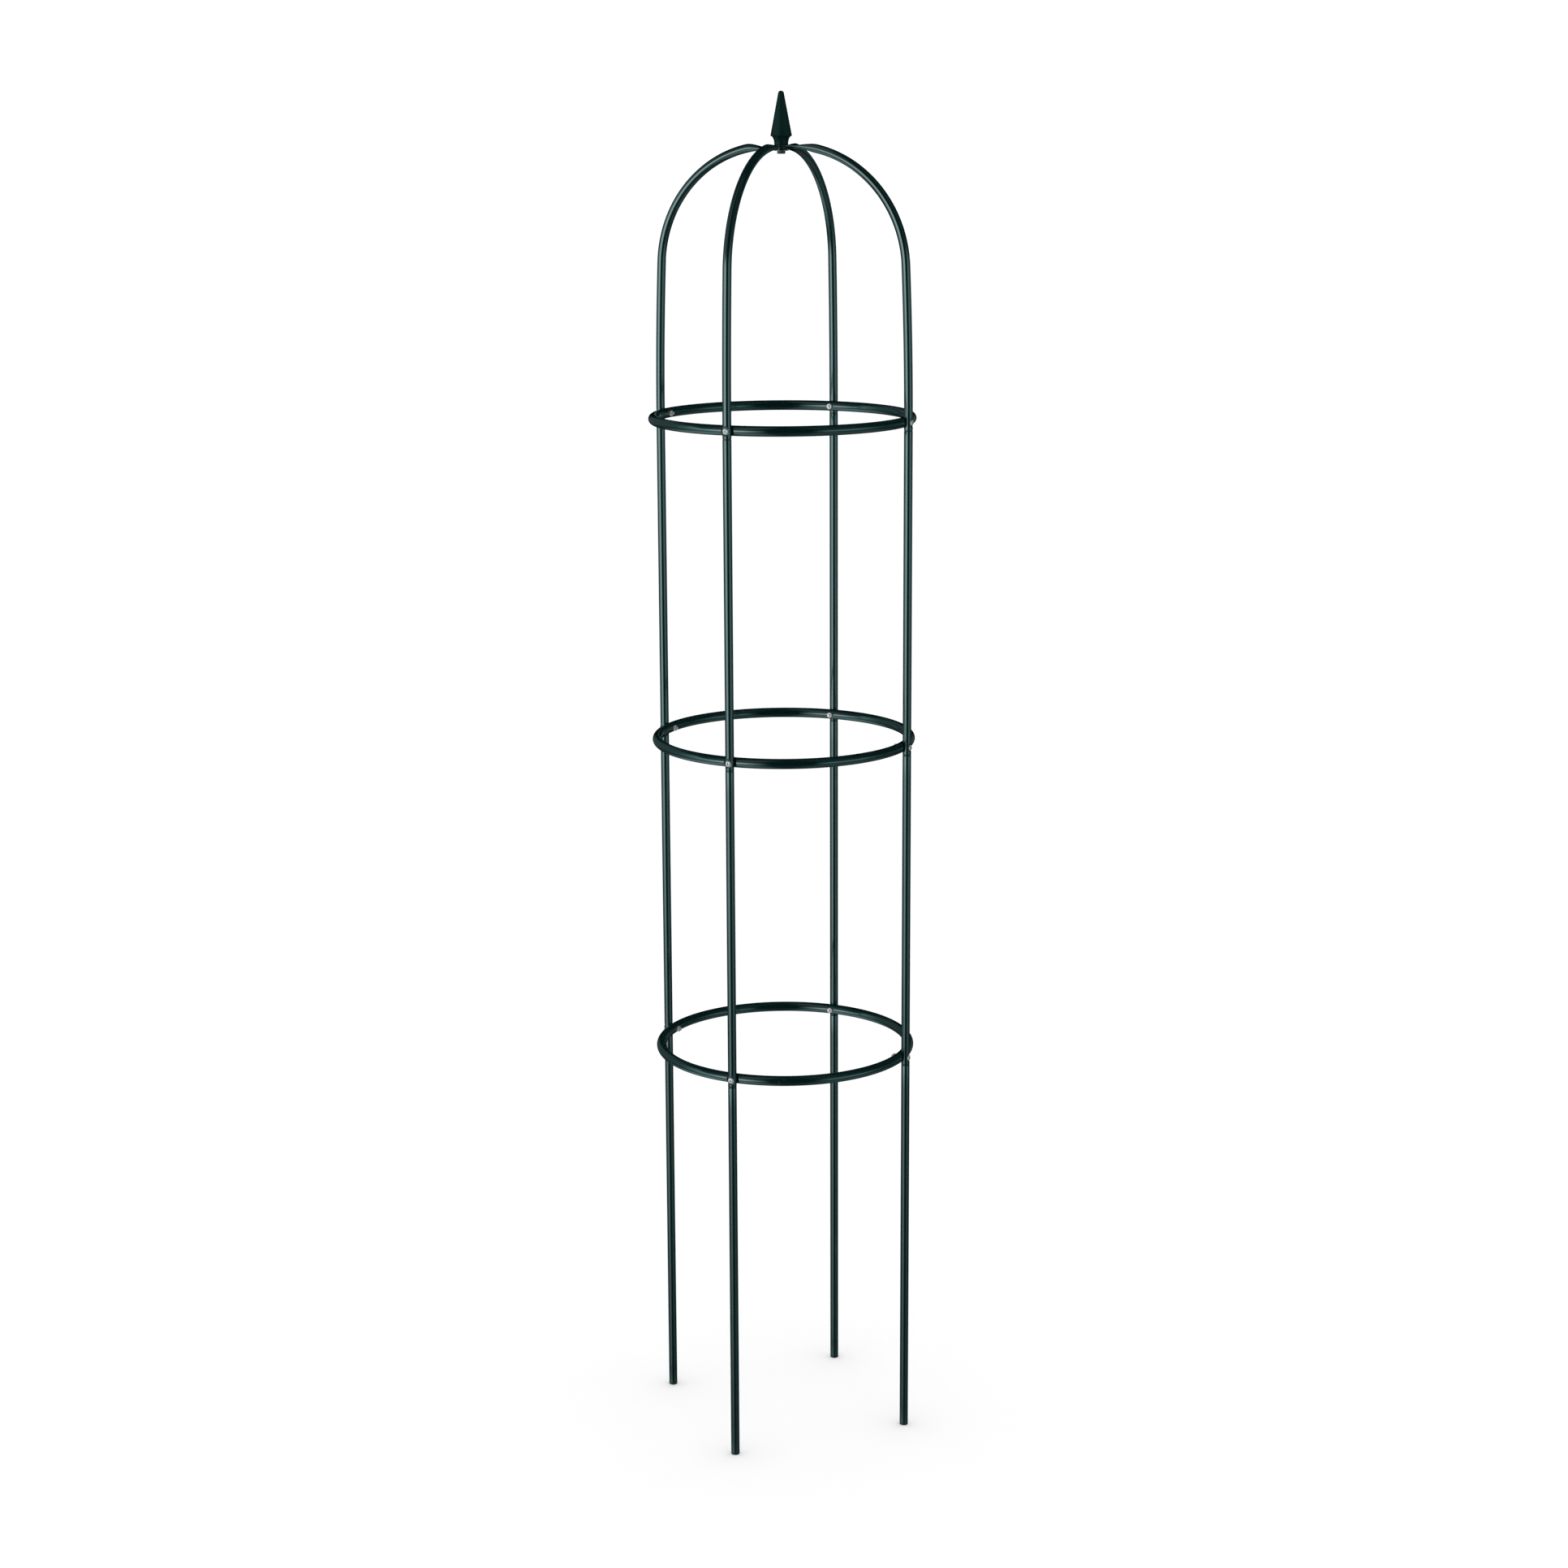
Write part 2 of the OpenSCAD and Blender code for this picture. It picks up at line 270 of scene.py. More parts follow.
def press_dimple(points, z_screw, radius):
    """Presses the seat of a screw head into the outer side of a tube wall drawn on the Z axis."""
    x, y, z = points.T
    reach = np.hypot(y, z - z_screw)
    share = 1 - smooth_step(DIMPLE_FLOOR_R, DIMPLE_EDGE_R, reach)
    floor = radius - DIMPLE_DEPTH
    return np.stack([np.where(x > floor, x - (x - floor) * share, x), y, z], 1)


# ---- Tubes ----


def lip_profile(z_low):
    """Radius and height up the rounded lower lip of a tube."""
    return [
        (TUBE_R - LIP * (1 - math.sin(a)), z_low + LIP * (1 - math.cos(a)))
        for a in np.linspace(0, math.pi / 2, 5)[:-1]
    ]


def tube_shell(z_low, z_joint, dimples):
    """A leg tube: plain rounded lower end, and a shoulder and reduced end above z_joint."""
    z_swage = z_joint + SHOULDER_H
    z_top = z_joint + SWAGE_LEN
    outer = [(TUBE_R, z) for z in sample_heights(z_low + LIP, z_joint - LIP, dimples)]
    shoulder = [
        (TUBE_R - LIP * (1 - math.cos(a)), z_joint - LIP + LIP * math.sin(a))
        for a in np.linspace(0, math.pi / 2, 5)[1:]
    ]
    swage = [(SWAGE_R, z) for z in sample_heights(z_swage, z_top - SWAGE_EDGE, dimples)]
    swage_bore = [(SWAGE_R - WALL, z) for z in sample_heights(z_swage, z_top, dimples)]
    bore = [(BORE_R, z) for z in sample_heights(z_low, z_joint - BORE_NECK_DROP, dimples)]
    profile = lip_profile(z_low) + outer + shoulder
    profile += [(SWAGE_R + 0.12, z_swage - 0.5)]
    profile += swage + [(SWAGE_R - SWAGE_EDGE, z_top)] + swage_bore[::-1] + bore[::-1]
    rows = []
    for radius, z in profile:
        row = circle(radius, z, TUBE_SEGMENTS)
        for z_screw in dimples:
            if abs(z - z_screw) < DIMPLE_REACH:
                row = press_dimple(row, z_screw, radius)
        rows.append(row)
    return skin(rows, wrap=True)


def oblong(half_h, half_w, segments):
    """Points at equal steps round a strip with round edges: (thickness, width) offsets."""
    flat = half_w - half_h
    arc = math.pi * half_h
    total = 4 * flat + 2 * arc
    points = []
    for i in range(segments):
        s = (i / segments) * total
        if s < flat:
            points.append((half_h, s))
        elif s < flat + arc:
            a = (s - flat) / half_h
            points.append((half_h * math.cos(a), flat + half_h * math.sin(a)))
        elif s < 3 * flat + arc:
            points.append((-half_h, flat - (s - flat - arc)))
        elif s < 3 * flat + 2 * arc:
            a = (s - 3 * flat - arc) / half_h
            points.append((-half_h * math.cos(a), -flat - half_h * math.sin(a)))
        else:
            points.append((half_h, -flat + (s - 3 * flat - 2 * arc)))
    return np.array(points)


def dome_stations(low_z, tab_z):
    """Stations up a dome tube: centre x, centre z, lean from upright, half height, half width."""
    lean_angle = 2 * math.atan(LEAN_IN / (DOME_START_Z - low_z))
    lean_r = (DOME_START_Z - low_z) / math.sin(lean_angle)
    dome_r = (DOME_TOP_Z - DOME_START_Z) / (1 - math.sin(lean_angle))
    dome_x = LEG_R - LEAN_IN - dome_r * math.cos(lean_angle)
    dome_z = DOME_TOP_Z - dome_r

    # The slight lean, then the bend
    stations = []
    for z in sample_heights(low_z + LIP, DOME_START_Z, [RING_Z["top"]], coarse=12):
        angle = math.asin((z - low_z) / lean_r)
        stations.append((LEG_R - lean_r + lean_r * math.cos(angle), z, angle, TUBE_R, TUBE_R))
    for angle in np.linspace(lean_angle, FLATTEN_ANGLE, 61)[1:]:
        x, z = dome_x + dome_r * math.cos(angle), dome_z + dome_r * math.sin(angle)
        stations.append((x, z, angle, TUBE_R, TUBE_R))

    # The fishtail, along a cubic from the end of the bend to the root of the tab
    bend_end = np.array(stations[-1][:2])
    root = np.array([TAB_ROOT_X, tab_z])
    pull = 0.9 * np.linalg.norm(root - bend_end)
    start_way = pull * np.array([-math.sin(FLATTEN_ANGLE), math.cos(FLATTEN_ANGLE)])
    end_way = pull * np.array([-1.0, 0.0])
    for t in np.linspace(0, 1, 29)[1:]:
        h00, h10 = 2 * t**3 - 3 * t**2 + 1, t**3 - 2 * t**2 + t
        h01, h11 = -2 * t**3 + 3 * t**2, t**3 - t**2
        point = h00 * bend_end + h10 * start_way + h01 * root + h11 * end_way
        way = (
            (6 * t**2 - 6 * t) * (bend_end - root)
            + (3 * t**2 - 4 * t + 1) * start_way
            + (3 * t**2 - 2 * t) * end_way
        )
        angle = math.atan2(-way[0], way[1])
        flat = float(smooth_step(0.0, 0.96, t))
        half_h = TUBE_R + (TAB_T / 2 - TUBE_R) * flat
        half_w = TUBE_R + (TAB_W / 2 - TUBE_R) * flat
        stations.append((point[0], point[1], angle, half_h, half_w))

    # The tab and its round end
    for x in np.linspace(TAB_ROOT_X, 0, 5)[1:]:
        stations.append((x, tab_z, math.pi / 2, TAB_T / 2, TAB_W / 2))
    for a in np.radians([15, 30, 45, 57, 67, 75, 81, 85]):
        half_w = TAB_W / 2 * math.cos(a)
        half_h = min(TAB_T / 2, half_w)
        stations.append((-TAB_W / 2 * math.sin(a), tab_z, math.pi / 2, half_h, half_w))
    return stations


def station_row(station, shrink):
    """The loop of points at a station, drawn in by shrink for the inside of the wall."""
    x, z, angle, half_h, half_w = station
    if shrink:
        half_h, half_w = max(0.06, half_h - shrink), max(0.3, half_w - shrink)
    loop = oblong(half_h, half_w, TUBE_SEGMENTS)
    points = np.stack(
        [x + loop[:, 0] * math.cos(angle), loop[:, 1], z + loop[:, 0] * math.sin(angle)], 1
    )
    if abs(z - RING_Z["top"]) < DIMPLE_REACH:
        points = press_dimple(points - [LEG_R, 0, 0], RING_Z["top"], TUBE_R - shrink)
        points = points + [LEG_R, 0, 0]
    return points


def dome_shell(tab):
    """A dome tube: straight lower end, slight lean, bend, fishtail and flat tab."""
    low_z = RING_Z["top"] - JOINT_DROP + END_GAP
    tab_z = CROWN_Z + (tab + 0.5) * TAB_T
    stations = dome_stations(low_z, tab_z)
    lip = [(LEG_R, z, 0.0, radius, radius) for radius, z in lip_profile(low_z)]
    bore_end = next(i for i, s in enumerate(stations) if s[3] < WALL + 0.1)
    bore = [(LEG_R, low_z, 0.0, TUBE_R, TUBE_R)] + stations[:bore_end]
    rows = [np.array([[stations[bore_end][0], 0.0, stations[bore_end][1]]])]
    rows += [station_row(station, WALL) for station in bore[::-1]]
    rows += [station_row(station, 0.0) for station in lip + stations]
    rows.append(np.array([[-TAB_W / 2, 0.0, tab_z]]))
    return skin(rows)


# ---- Rings ----


def soft_min(a, b, blend):
    """The lower of two values, rounded off over blend where they cross."""
    share = np.clip(0.5 + 0.5 * (b - a) / blend, 0, 1)
    return b * (1 - share) + a * share - blend * share * (1 - share)


def ring_shell(z):
    """A round tube bent into a circle, pressed in where each leg sits."""
    near = np.radians(np.arange(-SEAT_SPAN, SEAT_SPAN + 0.01, 0.2))
    far = np.radians(np.linspace(SEAT_SPAN, 90 - SEAT_SPAN, 42)[1:-1])
    quarter = np.concatenate([near, far])
    angles = np.concatenate([i * math.pi / 2 + quarter for i in range(4)])
    around = np.arange(TUBE_SEGMENTS) * 2 * math.pi / TUBE_SEGMENTS
    rows = []
    for angle in angles:
        radius = RING_R + RING_TUBE_R * np.cos(around)
        height = -RING_TUBE_R * np.sin(around)
        turn = (angle + math.pi / 4) % (math.pi / 2) - math.pi / 4
        x, y = radius * math.cos(turn), radius * math.sin(turn)
        inside = np.clip(SEAT_PRESS_R**2 - y**2, 0, None)
        beyond = np.clip(np.abs(y) - SEAT_PRESS_R, 0, None)
        press = SEAT_FACE_R + SEAT_PRESS_R - np.sqrt(inside) + 6 * beyond
        pressed = np.minimum(x, soft_min(x, press, SEAT_SOFTNESS))
        height = height * (1 + SEAT_SPREAD * (x - pressed))
        a = angle - turn
        new_x = pressed * math.cos(a) - y * math.sin(a)
        new_y = pressed * math.sin(a) + y * math.cos(a)
        rows.append(np.stack([new_x, new_y, z + height], 1))
    return skin(rows, wrap=True)


# ---- Fasteners ----


def threaded(core_r, crest_r, z_low, z_high, pitch, segments, per_turn=6):
    """Rows of a helical thread from z_low up to z_high, fading out at its upper end."""
    turn = np.arange(segments) * 2 * math.pi / segments
    count = round((z_high - z_low) / pitch * per_turn)
    rows = []
    for i in range(count + 1):
        z = z_low + (z_high - z_low) * i / count
        phase = (z / pitch - turn / (2 * math.pi)) % 1.0
        ridge = np.clip(1.6 * np.abs(2 * phase - 1) - 0.3, 0, 1)
        fade = float(smooth_step(z_high - 2 * pitch, z_high, z))
        taper = float(smooth_step(z_low, z_low + 0.6, z))
        radius = core_r + (crest_r - core_r) * np.maximum(ridge * taper, fade)
        rows.append(level_row(radius, turn, z))
    return rows


def screw_shell():
    """A pan-head screw with a cross recess, its head's seat at z = 0 and its shank downwards."""
    shank_r = SCREW_D / 2 - 0.05
    head_r = HEAD_D / 2
    thread_end = -13
    rim_h = 1.15
    arm_half_w, arm_narrowing, arm_len = 0.52, 0.06, 2.1
    recess_depth, recess_rise = 1.4, 0.3

    profile = [(0, -SCREW_LEN), (1.0, -SCREW_LEN)]
    rows = [circle(r, z, TUBE_SEGMENTS) for r, z in profile]
    thread_start = -SCREW_LEN + 0.15
    rows += threaded(
        shank_r - 0.4, shank_r, thread_start, thread_end, THREAD_PITCH, TUBE_SEGMENTS
    )
    profile = [(shank_r, -8), (shank_r, -0.2), (shank_r + 0.1, 0), (head_r - 0.3, 0)]
    profile += [(head_r - 0.1, 0.1), (head_r, 0.35), (head_r, 0.75), (head_r - 0.06, 1.05)]
    rows += [circle(r, z, TUBE_SEGMENTS) for r, z in profile]

    # The crown of the head, with the two arms of the recess sunk into it
    for r in np.concatenate([np.linspace(head_r - 0.25, 2.35, 9), np.linspace(2.25, 0.09, 25)]):
        crown = rim_h + (HEAD_H - rim_h) * math.sqrt(max(0.0, 1 - (r / head_r) ** 2.6))
        row = circle(r, crown, TUBE_SEGMENTS)
        u, v = np.abs(row[:, 0]), np.abs(row[:, 1])
        arm = np.zeros(TUBE_SEGMENTS)
        for along, across in ((u, v), (v, u)):
            side = smooth_step(-0.07, 0.12, arm_half_w - arm_narrowing * along - across)
            end = smooth_step(-0.1, 0.25, arm_len - along)
            arm = np.maximum(arm, side * end)
        row[:, 2] -= arm * (recess_depth - recess_rise * r)
        rows.append(row)
    rows.append(circle(0, HEAD_H - 1.45, TUBE_SEGMENTS))
    return skin(rows)


def hexagon_rows(af, heights_and_trims):
    """Level rows of a hexagon. Each (height, trim) cuts the corners back to that radius."""
    turn = np.arange(HEX_SEGMENTS) * 2 * math.pi / HEX_SEGMENTS
    from_flat = (turn + math.pi / 6) % (math.pi / 3) - math.pi / 6
    flat_r = af / 2 / np.cos(from_flat)
    rows = []
    for z, trim in heights_and_trims:
        rows.append(level_row(np.minimum(flat_r, trim), turn, z))
    return rows


def hexagon_trims(af, h):
    """Heights and corner radii down a hexagon's side, chamfered at both faces."""
    half = af / 2
    corner = half / math.cos(math.pi / 6) * 0.99
    rise = (corner - half) * 0.6
    return [
        (0, half * 0.97), (0.04, half), (rise, corner), (rise + 0.02, corner),
        (h - rise - 0.02, corner), (h - rise, corner), (h - 0.04, half), (h, half * 0.97),
    ]


def nut_shell():
    """A chamfered hexagon nut along +Z from z = 0, with a countersunk hole."""
    hole_r = SCREW_D / 2
    sink = 0.35
    rows = hexagon_rows(NUT_AF, hexagon_trims(NUT_AF, NUT_H))
    hole = [(hole_r + sink, NUT_H), (hole_r, NUT_H - sink), (hole_r, sink), (hole_r + sink, 0)]
    rows += [circle(r, z, HEX_SEGMENTS) for r, z in hole]
    return skin(rows, wrap=True)


def bolt_shell():
    """The crown bolt: a chamfered hexagon head under a threaded shank, its seat at z = 0."""
    shank_r = BOLT_D / 2 - 0.05
    top = FINIAL_Z + BOLT_GRIP - (CROWN_Z - WASHER_T)
    thread_end = -4
    sides = [(z - BOLT_HEAD_H, trim) for z, trim in hexagon_trims(BOLT_AF, BOLT_HEAD_H)]
    thread = threaded(
        shank_r - 0.55, shank_r, -top + 0.15, thread_end, BOLT_PITCH, HEX_SEGMENTS, per_turn=5
    )
    below = [(0, -BOLT_HEAD_H), (BOLT_AF * 0.22, -BOLT_HEAD_H)]
    rows = [circle(r, z, HEX_SEGMENTS) for r, z in below]
    rows += hexagon_rows(BOLT_AF, sides)
    rows += [circle(r, z, HEX_SEGMENTS) for r, z in [(shank_r + 0.15, 0), (shank_r, 0.2)]]
    rows += [row * [1, 1, -1] for row in thread[::-1]]
    rows += [circle(r, z, HEX_SEGMENTS) for r, z in [(1.8, top), (0, top)]]
    return skin(rows)


def washer_shell():
    """The crown washer, its top face at z = 0."""
    outer, inner = WASHER_D / 2, BOLT_D / 2 + 0.2
    loop = [(outer, -WASHER_T), (outer, 0), (inner, 0), (inner, -WASHER_T)]
    profile = rounded(loop + loop[:2], [0, 0.25, 0.15, 0.15, 0.25, 0])[1:-1]
    return lathe(profile, ROUND_SEGMENTS, wrap=True)


# ---- Finial and feet ----


def finial_shell():
    """The moulded spike: hollow-sided neck, sharp rim, straight cone and round tip."""
    tip_z = FINIAL_H - TIP_R
    slope = (RIM_R - TIP_R) / (FINIAL_H - TIP_R - RIM_Z)
    foot_r = 0.5
    profile = [(0, 0), (NECK_R - foot_r, 0)]
    for a in np.linspace(0.3, math.pi / 2, 5):
        profile.append((NECK_R - foot_r * (1 - math.sin(a)), foot_r * (1 - math.cos(a))))
    for t in np.linspace(math.pi / 2, 0.05, 20):
        r = RIM_R - (RIM_R - NECK_R) * math.sin(t)
        profile.append((r, RIM_Z - (RIM_Z - FOOT_H) * (1 - math.cos(t))))
    for inset, above in ((0.02, 0.08), (0.18, 0.5), (0.35, 1.2)):
        profile.append((RIM_R - inset, RIM_Z + above))
    for z in np.linspace(RIM_Z + 3, tip_z + 0.6, 16):
        profile.append((RIM_R - 0.12 - slope * (z - RIM_Z) * 0.99, z))
    for a in np.radians(np.arange(14, 90, 7.6)):
        profile.append((TIP_R * math.cos(a), tip_z + TIP_R * math.sin(a)))
    profile.append((0, FINIAL_H))
    return lathe(profile, ROUND_SEGMENTS)


def cap_shell():
    """An end cap: a rounded black rim under the tube and a hollow plug inside it."""
    plug_r = BORE_R - 0.05
    plug_bore_r = plug_r - 1.4
    edge = 0.9
    top = CAP_RIM_H + CAP_PLUG_LEN
    profile = [(0, 0.25), (TUBE_R - 3.2, 0.25), (TUBE_R - 2.9, 0), (TUBE_R - edge, 0)]
    for a in np.linspace(0.2, math.pi / 2, 7):
        profile.append((TUBE_R - edge + edge * math.sin(a), edge - edge * math.cos(a)))
    profile += [(TUBE_R, CAP_RIM_H - 0.35), (TUBE_R - 0.12, CAP_RIM_H - 0.12)]
    profile += [(plug_r, CAP_RIM_H - 0.1), (plug_r, top - 1), (plug_r - 0.6, top)]
    profile += [(plug_bore_r, top), (plug_bore_r, CAP_RIM_H), (0, CAP_RIM_H)]
    return lathe(profile, TUBE_SEGMENTS)


# ---- Materials ----


class Nodes:
    """Adds and wires shader nodes in a material or world."""

    def __init__(self, owner):
        owner.use_nodes = True
        self.tree = owner.node_tree
        self.tree.nodes.clear()

    def add(self, kind, inputs=None, **settings):
        """A new node with its settings, and with values or links for its inputs."""
        node = self.tree.nodes.new(kind)
        for key, value in settings.items():
            setattr(node, key, value)
        for key, value in (inputs or {}).items():
            self.plug(value, node.inputs[key])
        return node

    def plug(self, value, socket):
        """Links a socket, or sets it if the value is a constant."""
        if isinstance(value, bpy.types.NodeSocket):
            self.tree.links.new(value, socket)
        else:
            socket.default_value = value

    def math(self, operation, a, b=0.0, c=0.0):
        """The result of an operation on values or constants."""
        node = self.add("ShaderNodeMath", operation=operation)
        for i, value in enumerate((a, b, c)):
            self.plug(value, node.inputs[i])
        return node.outputs[0]

    def spread(self, value, from_low, from_high, to_low, to_high, smooth=False):
        """A value moved from one range to another and held at its ends."""
        kind = "SMOOTHSTEP" if smooth else "LINEAR"
        node = self.add("ShaderNodeMapRange", {"Value": value}, interpolation_type=kind)
        ends = {"From Min": from_low, "From Max": from_high, "To Min": to_low, "To Max": to_high}
        for key, end in ends.items():
            self.plug(end, node.inputs[key])
        return node.outputs["Result"]

    def noise(self, vector, scale, detail=2.0, rough=0.5, stretch=None):
        """Noise between 0 and 1. A stretch below 1 draws it out along that axis."""
        if stretch:
            vector = self.add("ShaderNodeMapping", {"Vector": vector, "Scale": stretch}).outputs[0]
        inputs = {"Vector": vector, "Scale": scale, "Detail": detail, "Roughness": rough}
        return self.add("ShaderNodeTexNoise", inputs).outputs["Fac"]

    def bump(self, height, strength, distance, under=None):
        """A normal from a height, on top of another one if it is given."""
        inputs = {"Strength": strength, "Distance": distance, "Height": height}
        if under is not None:
            inputs["Normal"] = under
        return self.add("ShaderNodeBump", inputs).outputs[0]

    def pointiness(self, low, high):
        """0 on flat surfaces and 1 on sharp outer edges."""
        point = self.add("ShaderNodeNewGeometry").outputs["Pointiness"]
        return self.spread(point, low, high, 0, 1, smooth=True)

    def blend(self, share, low, high):
        """A colour between two others."""
        node = self.add("ShaderNodeMix", data_type="RGBA")
        self.plug(share, node.inputs[0])
        self.plug(low, node.inputs[6])
        self.plug(high, node.inputs[7])
        return node.outputs[2]


def new_material(name, build):
    """A material whose shader is wired by build(nodes, place, shader)."""
    material = bpy.data.materials.new(name)
    nodes = Nodes(material)
    place = nodes.add("ShaderNodeTexCoord").outputs["Object"]
    shader = nodes.add("ShaderNodeBsdfPrincipled")
    build(nodes, place, shader)
    nodes.add("ShaderNodeOutputMaterial", {"Surface": shader.outputs[0]})
    return material


def coated_steel(nodes, place, shader):
    """Glossy dark blue-green coating: slight orange peel, faint scuffs, thin at the edges."""
    dark, light = (0.0008, 0.0072, 0.0073, 1), (0.0014, 0.0115, 0.0117, 1)
    scuffed, thin = (0.09, 0.14, 0.14, 1), (0.045, 0.075, 0.075, 1)

    # Colour: slow clouds and a fine mottle
    cloud = nodes.math("MULTIPLY", nodes.noise(place, 9.0, 3.0), 0.6)
    mottle = nodes.math("MULTIPLY", nodes.noise(place, 130.0, 3.0, 0.6), 0.4)
    shade = nodes.spread(nodes.math("ADD", cloud, mottle), 0.3, 0.7, 0, 1)
    colour = nodes.blend(shade, dark, light)

    # Scuffs: upright streaks in a few patches
    patches = nodes.spread(nodes.noise(place, 26.0, 2.0), 0.56, 0.72, 0, 1, smooth=True)
    streaks = nodes.noise(place, 900.0, 2.0, 0.5, stretch=(1, 1, 0.03))
    streaks = nodes.spread(streaks, 0.62, 0.72, 0, 1, smooth=True)
    scuff = nodes.math("MULTIPLY", patches, streaks)
    colour = nodes.blend(nodes.math("MULTIPLY", scuff, 0.35), colour, scuffed)

    # Edges where the coating has worn thin
    breaks = nodes.spread(nodes.noise(place, 420.0, 3.0), 0.45, 0.62, 0, 1, smooth=True)
    worn = nodes.math("MULTIPLY", nodes.pointiness(0.56, 0.66), breaks)
    colour = nodes.blend(nodes.math("MULTIPLY", worn, 0.6), colour, thin)
    nodes.plug(colour, shader.inputs["Base Color"])

    rough = nodes.spread(nodes.noise(place, 60.0, 4.0), 0.3, 0.7, 0.08, 0.15)
    rough = nodes.math("ADD", rough, nodes.math("MULTIPLY", scuff, 0.15))
    rough = nodes.math("ADD", rough, nodes.math("MULTIPLY", worn, 0.2))
    nodes.plug(rough, shader.inputs["Roughness"])
    shader.inputs["IOR"].default_value = 1.75
    shader.inputs["Specular IOR Level"].default_value = 1.0
    shader.inputs["Specular Tint"].default_value = (0.68, 1.0, 1.0, 1)

    # Orange peel, and a slow wave in the tube
    scuff_depth = nodes.math("MULTIPLY", scuff, -0.3)
    peel = nodes.math("ADD", nodes.noise(place, 420.0, 2.0), scuff_depth)
    peel = nodes.bump(peel, 0.08, 0.0003)
    wave = nodes.bump(nodes.noise(place, 40.0, 0.0), 0.1, 0.0006, under=peel)
    nodes.plug(wave, shader.inputs["Normal"])


def moulded_green(nodes, place, shader):
    """Satin moulded plastic with a fine grain and soft flow marks."""
    dark, light = (0.0008, 0.0090, 0.0080, 1), (0.0015, 0.0125, 0.0110, 1)
    edge_colour = (0.008, 0.035, 0.031, 1)
    flow = nodes.noise(place, 45.0, 3.0, 0.55, stretch=(1, 1, 0.35))
    colour = nodes.blend(nodes.spread(flow, 0.3, 0.7, 0, 1), dark, light)
    edge = nodes.math("MULTIPLY", nodes.pointiness(0.53, 0.62), 0.5)
    nodes.plug(nodes.blend(edge, colour, edge_colour), shader.inputs["Base Color"])
    shader.inputs["Specular IOR Level"].default_value = 0.33
    shader.inputs["Specular Tint"].default_value = (0.4, 1.0, 0.92, 1)
    grain = nodes.noise(place, 1600.0, 3.0)
    nodes.plug(nodes.spread(grain, 0.3, 0.7, 0.34, 0.46), shader.inputs["Roughness"])
    nodes.plug(nodes.bump(grain, 0.2, 0.0002), shader.inputs["Normal"])


def zinc(nodes, place, shader, dull=0.0, metal=0.75):
    """Bright zinc plate with a milky, cloudy sheen and fine tool marks, and painted shade in its
    recesses.
    """
    low, high = 0.64 - dull, 0.87 - dull
    dark = (low * 0.98, low, low * 1.01, 1)
    light = (high * 0.99, high, high * 1.01, 1)
    painted_recess_shade = (0.02, 0.021, 0.022, 1)
    cloud = nodes.noise(place, 700.0, 4.0, 0.6)
    colour = nodes.blend(nodes.spread(cloud, 0.3, 0.7, 0, 1), dark, light)
    # Painted shade: where ambient occlusion finds a recess, such as the cross in a screw head, the
    # colour goes towards near black.
    shelter = nodes.add(
        "ShaderNodeAmbientOcclusion", {"Distance": 0.0015}, samples=8, only_local=True
    ).outputs["AO"]
    hollow = nodes.spread(shelter, 0.3, 0.8, 0.92, 0.0, smooth=True)
    nodes.plug(nodes.blend(hollow, colour, painted_recess_shade), shader.inputs["Base Color"])
    shader.inputs["Metallic"].default_value = metal
    rough = nodes.spread(cloud, 0.3, 0.7, 0.4 + dull / 3, 0.26 + dull / 3)
    nodes.plug(rough, shader.inputs["Roughness"])
    marks = nodes.noise(place, 2600.0, 2.0)
    nodes.plug(nodes.bump(marks, 0.25, 0.0001), shader.inputs["Normal"])


def dull_zinc(nodes, place, shader):
    """The same plate, darker, rougher and fully metallic, on the crown bolt and its washer."""
    zinc(nodes, place, shader, dull=0.42, metal=1.0)


def moulded_black(nodes, place, shader):
    """Satin black plastic, scuffed pale where it meets the ground."""
    black, scuffed = (0.008, 0.0095, 0.0098, 1), (0.05, 0.05, 0.048, 1)
    scuff_height = 0.0012
    height = nodes.add("ShaderNodeSeparateXYZ", {"Vector": place}).outputs["Z"]
    low = nodes.spread(height, 0.0, scuff_height, 1, 0, smooth=True)
    patches = nodes.spread(nodes.noise(place, 500.0, 3.0), 0.45, 0.7, 0, 1, smooth=True)
    colour = nodes.blend(nodes.math("MULTIPLY", low, patches), black, scuffed)
    nodes.plug(colour, shader.inputs["Base Color"])
    grain = nodes.noise(place, 1300.0, 3.0)
    nodes.plug(nodes.spread(grain, 0.3, 0.7, 0.38, 0.52), shader.inputs["Roughness"])
    nodes.plug(nodes.bump(grain, 0.2, 0.0002), shader.inputs["Normal"])


def pale_floor(nodes, place, shader):
    """Plain matt white studio floor."""
    dark, light = (0.9, 0.9, 0.9, 1), (0.915, 0.915, 0.915, 1)
    nodes.plug(nodes.blend(nodes.noise(place, 3.0), dark, light), shader.inputs["Base Color"])
    shader.inputs["Roughness"].default_value = 1.0
    shader.inputs["Specular IOR Level"].default_value = 0.0


STEEL = new_material("green_steel_coat", coated_steel)
PLASTIC = new_material("green_moulded_plastic", moulded_green)
ZINC = new_material("zinc_plated_steel", zinc)
DULL_ZINC = new_material("dull_zinc_plated_steel", dull_zinc)
BLACK = new_material("black_moulded_plastic", moulded_black)

# ---- The pieces ----

JOINT_Z = {level: z - JOINT_DROP for level, z in RING_Z.items()}
LEG_PARTS = {
    "lower_leg": (CAP_RIM_H, "bottom", ["bottom"]),
    "middle_leg": (JOINT_Z["bottom"] + END_GAP, "middle", ["bottom", "middle"]),
    "upper_leg": (JOINT_Z["middle"] + END_GAP, "top", ["middle", "top"]),
}
for part, (z_low, joint, levels) in LEG_PARTS.items():
    dimples = [RING_Z[level] for level in levels]
    shell = shifted(tube_shell(z_low, JOINT_Z[joint], dimples), x=LEG_R)
    for side, degrees in SIDES.items():
        node = f"{part}_{side}"
        finish_piece(f"{node}_tube", [turned(shell, degrees)], STEEL, node)

